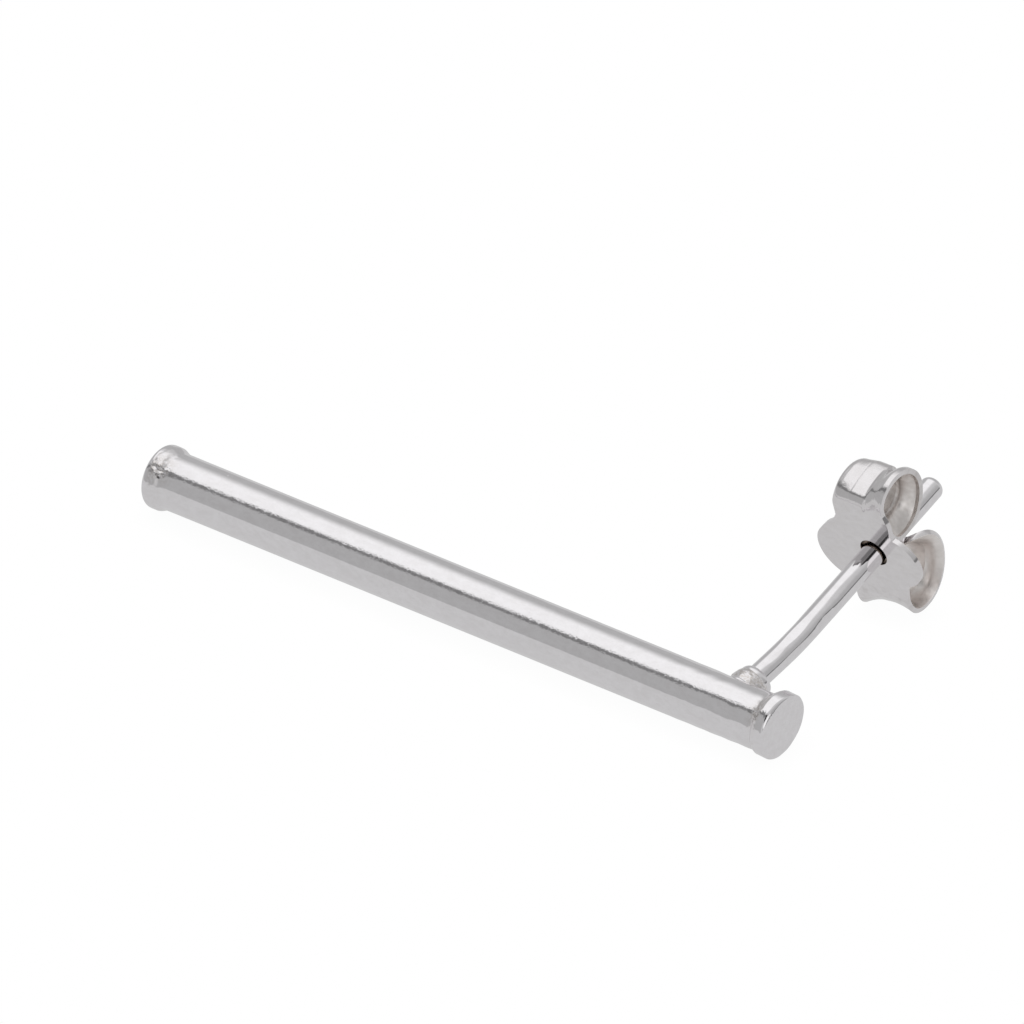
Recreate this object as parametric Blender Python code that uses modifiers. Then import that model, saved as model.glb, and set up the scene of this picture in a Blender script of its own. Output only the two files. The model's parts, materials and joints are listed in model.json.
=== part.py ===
"""A bar earring in silver, lying as it rests when nobody wears it.

The round bar carries a soldered disc on each end and a post near one end.
A butterfly clutch, one stamped and curled piece of sheet, slides on the post.
The earring is modelled square to its own post: X runs along the bar, Y along the post.
A parent empty then tips it about the bar until both discs and the clutch touch the ground.
"""

import math

import bmesh
import bpy
import numpy as np
from mathutils import Matrix, Vector

MM = 0.001

# Bar and its two end discs; the post's straight part crosses the bar's axis at X = 0
BAR_LENGTH = 28.0 * MM
BAR_RADIUS = 1.085 * MM
NEAR_END = 2.05 * MM
FAR_END = NEAR_END - BAR_LENGTH
FAR_DISC_RADIUS = 1.212 * MM
FAR_DISC_THICKNESS = 0.45 * MM
FAR_DISC_TILT = (-2.6, -1.8)
NEAR_DISC_RADIUS = 1.27 * MM
NEAR_DISC_THICKNESS = 0.42 * MM
NEAR_DISC_TILT = (5.0, -1.5)
NEAR_DISC_SHIFT = (0.05 * MM, 0.05 * MM)
DISC_EDGE = 0.07 * MM
DISC_EDGE_DEG = (0, 30, 60, 90)
BAR_INTO_DISC = 0.55
FILLET_LENGTH = 0.45 * MM
FILLET_HEIGHT = 0.09 * MM
FILLET_SHARES = (0.0, 0.35, 0.65, 0.85, 1.0)
BAR_SIDES = 48

# Post, bent slightly a third of the way up, and the solder collar round its foot
POST_RADIUS = 0.45 * MM
POST_TIP = 12.45 * MM
POST_ROOT = 0.5 * MM
POST_BEND_AT = 3.6 * MM
POST_BEND_SPREAD = 0.7 * MM
POST_LEAN = 0.119
POST_TIP_ROUND = 0.30 * MM
POST_TIP_DEG = (0, 25, 50, 70, 84)
POST_STRAIGHT_FROM = 6.6 * MM
POST_BENT_ROWS = 20
POST_ROUNDNESS = 6
COLLAR_TOP = 1.78 * MM
COLLAR_FOOT = 0.75 * MM
COLLAR_SHIFT = 0.07 * MM
COLLAR_SIDES = 24

# The collar's lip and its bulging side, as (radius, depth below its top) in millimetres
COLLAR_LIP = ((0.47, 0.0), (0.54, 0.04), (0.576, 0.14))
COLLAR_SIDE = ((0.66, 0.30), (0.73, 0.50), (0.75, 0.73), (0.70, 1.03))
COLLAR_DISH = 0.02 * MM

# Clutch: a plate square to the post, with a hole, two lobes and two curled strips
PLATE_AT = 8.60 * MM
SHEET = 0.20 * MM
HOLE_RADIUS = 0.54 * MM
HOLE_SIDES = 24
LEFT_LOBE = {"x": -1.31 * MM, "z": -0.60 * MM, "radius": 1.34 * MM, "first": 270.0, "last": 97.0}
RIGHT_LOBE = {"x": 0.87 * MM, "z": -0.05 * MM, "radius": 1.18 * MM, "first": 88.0, "last": -74.0}
LOBE_STEPS = 14
STRIP_COLUMNS = 11
STRIP_HALF = 1.1 * MM
TURN_STEP = 15.0
END_STEPS = 4
END_ROUND_DEG = 32.0
END_LAST_DEG = 77.0

# Which way each strip leaves the plate and where its flat neck starts, with how many rows the neck has;
# then the middle of its curl, behind the plate's front along Y and above the hole's middle along Z
UPPER_STRIP = {"side": 1, "neck": 1.15 * MM, "rows": 2, "curl_y": 1.05 * MM, "curl_z": 1.85 * MM}
LOWER_STRIP = {"side": -1, "neck": -1.94 * MM, "rows": 1, "curl_y": 1.10 * MM, "curl_z": -2.10 * MM}

# Turn round the curl in degrees; then radius, half width, middle, left flare and right flare in
# millimetres, the flares for a strip of the usual half width; then how much higher the strip lies for
# each millimetre to the right
UPPER_SECTIONS = (
    (0.0, 1.05, 1.17, -0.24, 0.00, 0.10, 0.10),
    (45.0, 1.12, 1.16, -0.18, 0.05, 0.22, 0.08),
    (90.0, 1.20, 1.14, -0.12, 0.06, 0.22, 0.05),
    (180.0, 1.08, 1.12, -0.08, 0.05, 0.28, 0.04),
    (270.0, 1.15, 1.10, -0.05, 0.05, 0.30, 0.00),
    (320.0, 1.08, 1.08, -0.05, 0.00, 0.20, 0.00),
)
LOWER_SECTIONS = (
    (0.0, 1.10, 1.17, -0.12, 0.00, 0.00, 0.12),
    (45.0, 1.10, 1.20, -0.10, 0.24, 0.20, 0.20),
    (90.0, 1.10, 1.18, -0.14, 0.26, 0.22, 0.20),
    (180.0, 1.12, 1.12, -0.20, 0.22, 0.34, 0.16),
    (225.0, 1.30, 1.06, -0.20, 0.18, 0.55, 0.10),
    (272.0, 1.47, 1.00, -0.16, 0.20, 0.85, 0.04),
)
FLARE_FROM_LEFT = 0.15
FLARE_FROM_RIGHT = 0.15
FLARE_POWER = 1.8

SILVER = (0.86, 0.85, 0.84, 1.0)
SHARP_EDGE_DEG = 40.0
WELD = 0.01 * MM
WIRE_WELD = 0.001 * MM

# The search for the lying tilt
STEEPEST_TILT_DEG = 30.0
HALVINGS = 50


def clear_scene():
    for item in list(bpy.data.objects):
        bpy.data.objects.remove(item, do_unlink=True)


def collection(name):
    group = bpy.data.collections.new(name)
    bpy.context.scene.collection.children.link(group)
    return group


def material(name, colour, roughness, metallic):
    made = bpy.data.materials.new(name)
    made.use_nodes = True
    shader = made.node_tree.nodes["Principled BSDF"]
    shader.inputs["Base Color"].default_value = colour
    shader.inputs["Roughness"].default_value = roughness
    shader.inputs["Metallic"].default_value = metallic
    return made


def turned(name, profile, sides, group):
    """A solid of revolution about its own Z from (radius, height) pairs, top to bottom."""
    mesh = bpy.data.meshes.new(name)
    points = [(radius, 0.0, height) for radius, height in profile]
    mesh.from_pydata(points, [(i, i + 1) for i in range(len(points) - 1)], [])
    item = bpy.data.objects.new(name, mesh)
    group.objects.link(item)
    screw = item.modifiers.new("turn", "SCREW")
    screw.axis = "Z"
    screw.angle = 2 * math.pi
    screw.steps = sides
    screw.render_steps = sides
    screw.use_merge_vertices = True
    screw.merge_threshold = WELD
    return item


def disc_profile(radius, thickness, edge):
    """A coin with rounded edges, its outer face at height 0."""
    corner = [(radius - edge + edge * math.sin(a), -edge + edge * math.cos(a))
              for a in np.radians(DISC_EDGE_DEG)]
    low = [(r, -thickness - h) for r, h in reversed(corner)]
    return [(0.0, 0.0)] + corner + low + [(0.0, -thickness)]


def end_disc(name, x, radius, thickness, tilt, shift, outward, group):
    """A disc whose outer face is square to the bar but for a tilt about Y and Z, in degrees."""
    disc = turned(name, disc_profile(radius, thickness, DISC_EDGE), BAR_SIDES, group)
    face_out = Matrix.Rotation(outward * math.pi / 2, 4, "Y")
    lean = Matrix.Rotation(math.radians(tilt[1]), 4, "Z") @ Matrix.Rotation(math.radians(tilt[0]), 4, "Y")
    disc.rotation_euler = (lean @ face_out).to_euler()
    disc.location = (x, shift[0], shift[1])
    return disc


def fillet(start, end, height):
    """(radius, height along the bar) pairs where solder creeps from the bar up to a disc."""
    rows = []
    for share in FILLET_SHARES:
        rows.append((BAR_RADIUS + height * share ** 2, start + (end - start) * share))
    return rows


def bar_profile():
    """The bar's outer side from its near end to its far end, ending inside each disc."""
    near = NEAR_END - NEAR_DISC_THICKNESS * BAR_INTO_DISC
    far = FAR_END + FAR_DISC_THICKNESS * BAR_INTO_DISC
    near_rows = fillet(near - FILLET_LENGTH, near, FILLET_HEIGHT)
    far_rows = fillet(far + FILLET_LENGTH, far, FILLET_HEIGHT)
    return [(0.0, near)] + near_rows[::-1] + far_rows + [(0.0, far)]


def post_x(y):
    """How far the bent post lies to one side of its straight part, at a distance along it."""
    short = POST_BEND_AT - y
    return -POST_LEAN * 0.5 * (short + math.sqrt(short ** 2 + POST_BEND_SPREAD ** 2))


def post(group):
    """The post as a wire with a rounded tip, made a closed mesh so that it can be joined."""
    curve = bpy.data.curves.new("post", "CURVE")
    curve.dimensions = "3D"
    curve.bevel_depth = POST_RADIUS
    curve.bevel_resolution = POST_ROUNDNESS
    curve.use_fill_caps = True
    stations = [(y, 1.0) for y in np.linspace(POST_ROOT, POST_STRAIGHT_FROM, POST_BENT_ROWS)]
    for angle in np.radians(POST_TIP_DEG):
        y = POST_TIP - POST_TIP_ROUND + POST_TIP_ROUND * math.sin(angle)
        stations.append((y, 1.0 - POST_TIP_ROUND / POST_RADIUS * (1 - math.cos(angle))))
    spline = curve.splines.new("POLY")
    spline.points.add(len(stations) - 1)
    for point, (y, width) in zip(spline.points, stations):
        point.co = (post_x(y), y, 0.0, 1.0)
        point.radius = width
    wire = bpy.data.objects.new("post_wire", curve)
    group.objects.link(wire)
    return solid_from_curve(wire, "post", group)


def solid_from_curve(wire, name, group):
    """The wire's surface as a mesh object, with its end caps welded on; the curve is removed."""
    bpy.context.view_layer.update()
    graph = bpy.context.evaluated_depsgraph_get()
    mesh = bpy.data.meshes.new_from_object(wire.evaluated_get(graph))
    work = bmesh.new()
    work.from_mesh(mesh)
    bmesh.ops.remove_doubles(work, verts=work.verts, dist=WIRE_WELD)
    work.to_mesh(mesh)
    work.free()
    item = bpy.data.objects.new(name, mesh)
    item.matrix_world = wire.matrix_world.copy()
    group.objects.link(item)
    bpy.data.objects.remove(wire, do_unlink=True)
    return item


def collar(group):
    """A cup of solder round the post's foot, widest where it meets the bar."""
    height = COLLAR_TOP - COLLAR_FOOT
    outline = [(radius * MM, height - depth * MM) for radius, depth in COLLAR_LIP + COLLAR_SIDE]
    profile = [(0.0, height - COLLAR_DISH)] + outline + [(0.0, 0.0)]
    cup = turned("solder_collar", profile, COLLAR_SIDES, group)
    cup.rotation_euler = (-math.pi / 2, 0.0, -math.atan(POST_LEAN))
    cup.location = (post_x(COLLAR_FOOT) + COLLAR_SHIFT, COLLAR_FOOT, 0.0)
    return cup


def hide_as_cutter(item):
    item.hide_render = True
    item.display_type = "WIRE"


def join(base, extra):
    """Solder a hidden piece to the base with an exact union."""
    hide_as_cutter(extra)
    union = base.modifiers.new("solder " + extra.name, "BOOLEAN")
    union.operation = "UNION"
    union.solver = "EXACT"
    union.object = extra


def bar_and_post(group, hidden):
    bar = turned("bar_and_post", bar_profile(), BAR_SIDES, group)
    bar.rotation_euler = (0.0, math.pi / 2, 0.0)
    near = end_disc("near_disc", NEAR_END, NEAR_DISC_RADIUS, NEAR_DISC_THICKNESS,
                    NEAR_DISC_TILT, NEAR_DISC_SHIFT, 1, hidden)
    far = end_disc("far_disc", FAR_END, FAR_DISC_RADIUS, FAR_DISC_THICKNESS,
                   FAR_DISC_TILT, (0.0, 0.0), -1, hidden)
    pieces = [near, far, collar(hidden), post(hidden)]
    for piece in pieces:
        join(bar, piece)
    bar.data.materials.append(material("polished_silver", SILVER, 0.12, 1.0))
    return bar, pieces


def along(sections, turn):
    """A section's sizes at any turn: a smooth curve through the table's rows."""
    rows = np.array(sections)
    turns = rows[:, 0]
    sizes = rows[:, 1:]
    slopes = np.gradient(sizes, turns, axis=0)
    i = int(np.clip(np.searchsorted(turns, turn) - 1, 0, len(turns) - 2))
    gap = turns[i + 1] - turns[i]
    u = (turn - turns[i]) / gap
    low = (1 + 2 * u) * (1 - u) ** 2 * sizes[i] + u * (1 - u) ** 2 * gap * slopes[i]
    high = u * u * (3 - 2 * u) * sizes[i + 1] + u * u * (u - 1) * gap * slopes[i + 1]
    radius, half, middle, left, right, skew = low + high
    return radius * MM, half * MM, middle * MM, left * MM, right * MM, skew


def flare_at(across, left, right):
    """How far the strip's edges turn outward, for a place across it from -1 to 1."""
    side = left if across < 0 else right
    start = FLARE_FROM_LEFT if across < 0 else FLARE_FROM_RIGHT
    return side * max(0.0, (abs(across) - start) / (1 - start)) ** FLARE_POWER


def strip_rows(strip, sections):
    """Rows of points on the strip's outer surface, from its neck on the plate to its free end."""
    across = np.linspace(-1.0, 1.0, STRIP_COLUMNS)
    half, middle = along(sections, 0.0)[1:3]
    rows = []
    reach = strip["curl_z"] - strip["neck"]
    for share in np.linspace(0.0, 1.0, strip["rows"], endpoint=False):
        z = strip["neck"] + reach * share
        rows.append([Vector((middle + a * half, PLATE_AT, z)) for a in across])
    last = sections[-1][0]
    turns = list(np.arange(0.0, last - END_ROUND_DEG, TURN_STEP))
    into = np.radians(np.linspace(0.0, END_LAST_DEG, END_STEPS + 1))
    turns += [last - END_ROUND_DEG * (1 - math.sin(a)) for a in into]
    for turn in turns:
        radius, half, middle, left, right, skew = along(sections, turn)
        into_end = max(0.0, 1 - (last - turn) / END_ROUND_DEG)
        half = half * math.sqrt(1 - into_end ** 2)
        cos, sin = math.cos(math.radians(turn)), math.sin(math.radians(turn))
        row = []
        for a in across:
            out = radius + flare_at(a, left, right) * half / STRIP_HALF
            x = middle + a * half
            z = strip["curl_z"] + strip["side"] * out * sin + skew * (x - middle)
            row.append(Vector((x, PLATE_AT + strip["curl_y"] - out * cos, z)))
        rows.append(row)
    return rows


def lobe(shape):
    """Points on one of the plate's rounded lobes."""
    return [Vector((shape["x"] + shape["radius"] * math.cos(a), PLATE_AT,
                    shape["z"] + shape["radius"] * math.sin(a)))
            for a in np.radians(np.linspace(shape["first"], shape["last"], LOBE_STEPS))]


def clutch_sheet():
    """The clutch's outer surface as one open sheet: plate with hole, and both curled strips."""
    work = bmesh.new()
    necks = []
    for strip, sections in ((UPPER_STRIP, UPPER_SECTIONS), (LOWER_STRIP, LOWER_SECTIONS)):
        grid = [[work.verts.new(point) for point in row] for row in strip_rows(strip, sections)]
        for row, after in zip(grid, grid[1:]):
            for i in range(STRIP_COLUMNS - 1):
                work.faces.new((row[i], row[i + 1], after[i + 1], after[i]))
        necks.append(grid[0])
    right = [work.verts.new(point) for point in lobe(RIGHT_LOBE)]
    left = [work.verts.new(point) for point in lobe(LEFT_LOBE)]
    outline = necks[0] + right + necks[1][::-1] + left
    hole = [work.verts.new((HOLE_RADIUS * math.cos(a), PLATE_AT, HOLE_RADIUS * math.sin(a)))
            for a in np.linspace(0, 2 * math.pi, HOLE_SIDES, endpoint=False)]
    rim = []
    for loop in (outline, hole):
        for start, end in zip(loop, loop[1:] + loop[:1]):
            rim.append(work.edges.get((start, end)) or work.edges.new((start, end)))
    bmesh.ops.triangle_fill(work, use_beauty=True, edges=rim)
    bmesh.ops.recalc_face_normals(work, faces=work.faces)
    plate = min(work.faces, key=lambda face: face.calc_center_median().y)
    if plate.normal.y > 0:
        bmesh.ops.reverse_faces(work, faces=work.faces)
    mesh = bpy.data.meshes.new("butterfly_clutch")
    work.to_mesh(mesh)
    work.free()
    return mesh


def butterfly_clutch(group):
    clutch = bpy.data.objects.new("butterfly_clutch", clutch_sheet())
    group.objects.link(clutch)
    sheet = clutch.modifiers.new("sheet", "SOLIDIFY")
    sheet.thickness = SHEET
    sheet.offset = -1.0
    sheet.use_even_offset = True
    clutch.data.materials.append(material("clutch_silver", SILVER, 0.18, 1.0))
    return clutch


def corners(item):
    """Every point of an object's finished surface, in the earring's own frame."""
    graph = bpy.context.evaluated_depsgraph_get()
    done = item.evaluated_get(graph)
    mesh = done.to_mesh()
    points = np.array([item.matrix_world @ v.co for v in mesh.vertices])
    done.to_mesh_clear()
    return points


def lying_tilt(bar_points, clutch_points):
    """The tilt about the bar at which the clutch comes as low as the discs, by halving."""
    def lowest(points, tilt):
        return (points[:, 1] * math.sin(tilt) + points[:, 2] * math.cos(tilt)).min()
    low, high = 0.0, math.radians(STEEPEST_TILT_DEG)
    for _ in range(HALVINGS):
        tilt = 0.5 * (low + high)
        if lowest(clutch_points, tilt) < lowest(bar_points, tilt):
            low = tilt
        else:
            high = tilt
    return 0.5 * (low + high)


def lay_down(pieces, others):
    """Tip the earring about its bar and put the middle of its box's floor at the origin."""
    bpy.context.view_layer.update()
    bar_points, clutch_points = (corners(piece) for piece in pieces)
    tilt = lying_tilt(bar_points, clutch_points)
    turn = Matrix.Rotation(tilt, 4, "X")
    points = np.vstack((bar_points, clutch_points)) @ np.array(turn.to_3x3()).T
    low, high = points.min(axis=0), points.max(axis=0)
    frame = bpy.data.objects.new("earring_frame", None)
    pieces[0].users_collection[0].objects.link(frame)
    for piece in list(pieces) + others:
        piece.parent = frame
    frame.rotation_euler = (tilt, 0.0, 0.0)
    frame.location = (-(low[0] + high[0]) / 2, -(low[1] + high[1]) / 2, -low[2])
    bpy.context.view_layer.update()
    post_at = frame.matrix_world @ Vector((0.0, PLATE_AT, 0.0))
    print("lying tilt %.3f degrees" % math.degrees(tilt))
    print("box in mm", ((high - low) / MM).round(3))
    print("middle of the plate's hole", [round(v, 6) for v in post_at])
    print("the earring's own origin", [round(v, 6) for v in frame.location])
    print("post direction", [round(v, 6) for v in (turn @ Vector((0, 1, 0)))])


def smooth(item, sharp_deg):
    item.data.shade_smooth()
    item.data.set_sharp_from_angle(angle=math.radians(sharp_deg))


def main():
    clear_scene()
    parts = collection("bar_earring")
    hidden = collection("joined_shapes")
    bar, soldered = bar_and_post(parts, hidden)
    clutch = butterfly_clutch(parts)
    for item in [clutch] + soldered:
        smooth(item, SHARP_EDGE_DEG)
    lay_down((bar, clutch), soldered)


main()
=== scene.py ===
# %% [markdown]
# A bar earring in polished silver, lying on a white ground
#
# The real earring is a short round bar with a soldered disc on each end, a wire post near one end and
# a stamped butterfly clutch on the post. The imported solids already have its true sizes, so this lesson
# dresses them: each piece is made again as a finer mesh in the same place, and gets a silver finish.
# We first load the solids as a fixed frame.

# %% Load the solids
import json
import math

import bmesh
import bpy
import numpy as np
from mathutils import Matrix, Vector, noise


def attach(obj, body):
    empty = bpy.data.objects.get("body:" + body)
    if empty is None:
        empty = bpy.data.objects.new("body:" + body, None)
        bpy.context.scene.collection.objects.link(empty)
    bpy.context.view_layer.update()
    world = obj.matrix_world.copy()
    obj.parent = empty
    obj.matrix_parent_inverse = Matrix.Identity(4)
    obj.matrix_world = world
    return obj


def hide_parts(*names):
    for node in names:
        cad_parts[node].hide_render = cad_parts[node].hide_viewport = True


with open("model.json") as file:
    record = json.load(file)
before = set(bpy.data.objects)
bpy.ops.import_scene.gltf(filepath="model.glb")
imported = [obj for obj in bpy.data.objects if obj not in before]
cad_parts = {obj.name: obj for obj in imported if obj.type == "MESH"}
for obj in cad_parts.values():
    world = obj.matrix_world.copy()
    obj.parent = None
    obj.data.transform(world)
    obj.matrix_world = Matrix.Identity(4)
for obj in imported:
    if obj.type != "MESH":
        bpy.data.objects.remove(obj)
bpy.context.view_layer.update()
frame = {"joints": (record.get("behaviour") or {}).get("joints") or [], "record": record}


# %% [markdown]
# The earring's own directions
#
# A jeweller thinks of the earring square to its post: along the bar, along the post, and across both.
# Lying on the ground it is tipped about the bar, because the clutch rests on the ground too. We could
# model it tipped, but then no number would be round. So every piece is made square to the post, in
# millimetres, and one function lays the points down. The slide's direction gives the tip, and the
# flat front of the clutch, whose place the frame's record names, gives the origin.

# %% Find the tip and the origin
MM = 0.001
PLATE_AT = 8.60
RECORDED_ON_PLATE = (-1.3, PLATE_AT, -0.6)

post_direction = Vector(frame["joints"][0]["axis"])
tip = math.atan2(post_direction.z, post_direction.y)
tip_matrix = Matrix.Rotation(tip, 3, "X")
plate_front = Vector(frame["record"]["mounts"][0]["pos_m"])
origin = plate_front - tip_matrix @ Vector(RECORDED_ON_PLATE) * MM


def laid_down(points):
    """Points in millimetres, square to the post, as metres in the frame."""
    turn = np.array(tip_matrix)
    return np.asarray(points, float) @ turn.T * MM + np.array(origin)


print("tipped by %.2f degrees about the bar" % math.degrees(tip))
print("where the post meets the bar's axis, in mm:", [round(v / MM, 3) for v in origin])

# %% [markdown]
# The camera
#
# A small thing photographed from some way off shows almost no perspective: the bar's far end is as
# thick in the picture as its near end. A long lens would do, but a parallel camera is simpler and
# exact. Two angles say where it stands, a third how it leans, and one point of the earring whose
# place in the picture is known fixes the framing.

# %% Set up the camera
PICTURE = 1024
PIXELS_PER_MM = 27.8
CROSSING_IN_PICTURE = (735.52, 710.23)
CAMERA_AZIMUTH = 38.207
CAMERA_ELEVATION = 34.453
CAMERA_LEAN = -1.779
CAMERA_DISTANCE = 200.0
CAMERA_SEES = (0.001, 10.0)

side, height = math.radians(CAMERA_AZIMUTH), math.radians(CAMERA_ELEVATION)
look_back = Vector((math.sin(side) * math.cos(height), -math.cos(side) * math.cos(height),
                    math.sin(height)))
level_right = Vector((math.cos(side), math.sin(side), 0.0))
level_up = look_back.cross(level_right)
lean = math.radians(CAMERA_LEAN)
look_right = level_right * math.cos(lean) + level_up * math.sin(lean)
look_up = look_back.cross(look_right)

to_centre_right = (PICTURE / 2 - CROSSING_IN_PICTURE[0]) / PIXELS_PER_MM
to_centre_up = (CROSSING_IN_PICTURE[1] - PICTURE / 2) / PIXELS_PER_MM
in_view = origin + (look_right * to_centre_right + look_up * to_centre_up) * MM

camera_data = bpy.data.cameras.new("studio_camera")
camera_data.type = "ORTHO"
camera_data.ortho_scale = PICTURE / PIXELS_PER_MM * MM
camera_data.clip_start, camera_data.clip_end = CAMERA_SEES
camera = bpy.data.objects.new("studio_camera", camera_data)
camera.matrix_world = Matrix.Translation(in_view + look_back * CAMERA_DISTANCE * MM) @ Matrix(
    (look_right, look_up, look_back)).transposed().to_4x4()
bpy.context.scene.collection.objects.link(camera)
bpy.context.scene.camera = camera
bpy.context.scene.view_settings.view_transform = "Standard"
print("the picture is %.1f mm wide" % (PICTURE / PIXELS_PER_MM))

# %% [markdown]
# The ground
#
# The earring lies on a white sweep that the photographer exposes until it is plain white, while in the
# silver it still shows as a soft grey. We could light a white floor and hope for both. Instead the
# floor glows: white where the camera looks at it, and greyer where the silver does, with a faint
# darkening where something nearly touches it.

# %% Lay the white ground
GROUND_HALF = 0.6
GROUND_IN_SILVER = 0.61
CONTACT_REACH = 1.0 * MM
CONTACT_DARKENING = 0.03
CONTACT_SAMPLES = 12
WHITE = (1.0, 1.0, 1.0, 1.0)


def node(tree, kind, **settings):
    """A new node with these settings."""
    made = tree.nodes.new(kind)
    for name, value in settings.items():
        setattr(made, name, value)
    return made


def feed(tree, socket, value):
    """Give a socket a number, a vector or another node's output."""
    if isinstance(value, bpy.types.NodeSocket):
        tree.links.new(value, socket)
    else:
        socket.default_value = value


def sum_node(tree, operation, *values):
    """The outcome of a sum with numbers or other nodes' outputs."""
    made = node(tree, "ShaderNodeMath", operation=operation)
    for socket, value in zip(made.inputs, values):
        feed(tree, socket, value)
    return made.outputs[0]


def blend_values(tree, share, low, high):
    """low where share is 0 and high where it is 1."""
    made = node(tree, "ShaderNodeMix", data_type="FLOAT")
    feed(tree, made.inputs[0], share)
    feed(tree, made.inputs[2], low)
    feed(tree, made.inputs[3], high)
    return made.outputs[0]


def step(tree, value, start, end):
    """A soft step from 0 to 1 as value goes from start to end."""
    made = node(tree, "ShaderNodeMapRange", interpolation_type="SMOOTHSTEP")
    feed(tree, made.inputs["Value"], value)
    made.inputs["From Min"].default_value = start
    made.inputs["From Max"].default_value = end
    return made.outputs["Result"]


ground_mesh = bpy.data.meshes.new("white_ground")
ground_corners = [(x * GROUND_HALF, y * GROUND_HALF, 0) for x, y in ((-1, -1), (1, -1), (1, 1), (-1, 1))]
ground_mesh.from_pydata(ground_corners, [], [(0, 1, 2, 3)])
ground = bpy.data.objects.new("white_ground", ground_mesh)
bpy.context.scene.collection.objects.link(ground)

ground_paint = bpy.data.materials.new("white_ground")
ground_paint.use_nodes = True
tree = ground_paint.node_tree
tree.nodes.clear()
# A faint painted shadow: the floor's glow is dimmed where something nearly touches it
closeness = node(tree, "ShaderNodeAmbientOcclusion", samples=CONTACT_SAMPLES)
closeness.inputs["Distance"].default_value = CONTACT_REACH
shaded = blend_values(tree, closeness.outputs["AO"], 1.0 - CONTACT_DARKENING, 1.0)
path = node(tree, "ShaderNodeLightPath")
glow = blend_values(tree, path.outputs["Is Camera Ray"], GROUND_IN_SILVER, shaded)
light = node(tree, "ShaderNodeEmission")
light.inputs["Color"].default_value = WHITE
feed(tree, light.inputs["Strength"], glow)
out = node(tree, "ShaderNodeOutputMaterial")
tree.links.new(light.outputs[0], out.inputs["Surface"])
ground_mesh.materials.append(ground_paint)
print("ground laid,", len(ground_mesh.polygons), "face")

# %% [markdown]
# The studio
#
# Polished silver has almost no colour of its own: it shows the room. So the room is the main part of
# the finish. Small jewellery is often shot inside a soft box: a bright cloth overhead, greyer walls,
# a thin dark gap where the cloth ends, a white card and a dark corner on the right, and the dark spot
# of the camera. Real cards and lamps would work, but each costs noise. A sky that paints the same
# shapes by direction is clean and exact. Directions are read as an angle round the bar, and as how far
# they point along it. The cloth's front edge hangs lower towards the right, where the clutch looks.

# %% Paint the studio's room
# How bright each part is
CLOTH = 0.985
BACK_WALL = 0.48
FRONT_WALL = 0.44
RIGHT_WALL_NEAR = 0.60
RIGHT_WALL_FAR = 0.44
DARK_GAP = 0.20
FILL_CARD = 0.98
LENS = 0.03
CORNER = 0.20

# Where each part starts and ends: degrees round the bar, or how far a direction points along it or up
CLOTH_BACK_EDGE = (-62.0, -24.0)
CLOTH_FRONT_EDGE = (13.0, 30.0)
CLOTH_SAG = 9.0
CLOTH_SAG_EDGE = (-0.42, -0.18)
CLOTH_RIGHT_EDGE = (0.0, 0.46)
CLOTH_LEFT_EDGE = (-0.80, -0.58)
GAP_EDGE = (35.0, 44.0)
RIGHT_WALL_EDGE = (0.15, 0.45)
RIGHT_WALL_FADE = (0.5, 0.9)
FILL_CARD_DIRECTION, FILL_CARD_DEGREES = (0.80, -0.50, 0.28), (20.0, 11.0)
LENS_DIRECTION, LENS_DEGREES = (0.44, -0.66, 0.61), (13.0, 8.0)
CORNER_TOP = (0.20, 0.10)
CORNER_RIGHT = (0.60, 0.78)

room = bpy.data.worlds.new("studio_room")
bpy.context.scene.world = room
room.use_nodes = True
tree = room.node_tree
tree.nodes.clear()
toward = node(tree, "ShaderNodeTexCoord").outputs["Generated"]
split = node(tree, "ShaderNodeSeparateXYZ")
tree.links.new(toward, split.inputs[0])
along_bar, along_y, up = split.outputs
minus_y = sum_node(tree, "MULTIPLY", along_y, -1.0)
round_bar = sum_node(tree, "DEGREES", sum_node(tree, "ARCTAN2", minus_y, up))
sag = sum_node(tree, "MULTIPLY", step(tree, along_bar, *CLOTH_SAG_EDGE), CLOTH_SAG)
front_turn = sum_node(tree, "SUBTRACT", round_bar, sag)


def spot(tree, direction, degrees):
    """1 within the smaller angle of a direction, 0 beyond the larger one."""
    made = node(tree, "ShaderNodeVectorMath", operation="DOT_PRODUCT")
    tree.links.new(toward, made.inputs[0])
    made.inputs[1].default_value = Vector(direction).normalized()
    start, end = (math.cos(math.radians(angle)) for angle in degrees)
    return step(tree, made.outputs["Value"], start, end)


cloth_from_back = step(tree, round_bar, *CLOTH_BACK_EDGE)
cloth_to_front = sum_node(tree, "SUBTRACT", 1.0, step(tree, front_turn, *CLOTH_FRONT_EDGE))
cloth_from_left = step(tree, along_bar, *CLOTH_LEFT_EDGE)
cloth_to_right = sum_node(tree, "SUBTRACT", 1.0, step(tree, along_bar, *CLOTH_RIGHT_EDGE))
cloth = sum_node(tree, "MULTIPLY", sum_node(tree, "MULTIPLY", cloth_from_back, cloth_to_front),
                 sum_node(tree, "MULTIPLY", cloth_from_left, cloth_to_right))
front = blend_values(tree, step(tree, front_turn, *GAP_EDGE), DARK_GAP, FRONT_WALL)
walls = blend_values(tree, step(tree, front_turn, *CLOTH_FRONT_EDGE), BACK_WALL, front)
right_wall = blend_values(tree, step(tree, along_bar, *RIGHT_WALL_FADE), RIGHT_WALL_NEAR, RIGHT_WALL_FAR)
walls = blend_values(tree, step(tree, along_bar, *RIGHT_WALL_EDGE), walls, right_wall)
corner = sum_node(tree, "MULTIPLY", step(tree, up, *CORNER_TOP), step(tree, along_bar, *CORNER_RIGHT))
walls = blend_values(tree, corner, walls, CORNER)
level = blend_values(tree, cloth, walls, CLOTH)
level = blend_values(tree, spot(tree, FILL_CARD_DIRECTION, FILL_CARD_DEGREES), level, FILL_CARD)
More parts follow.
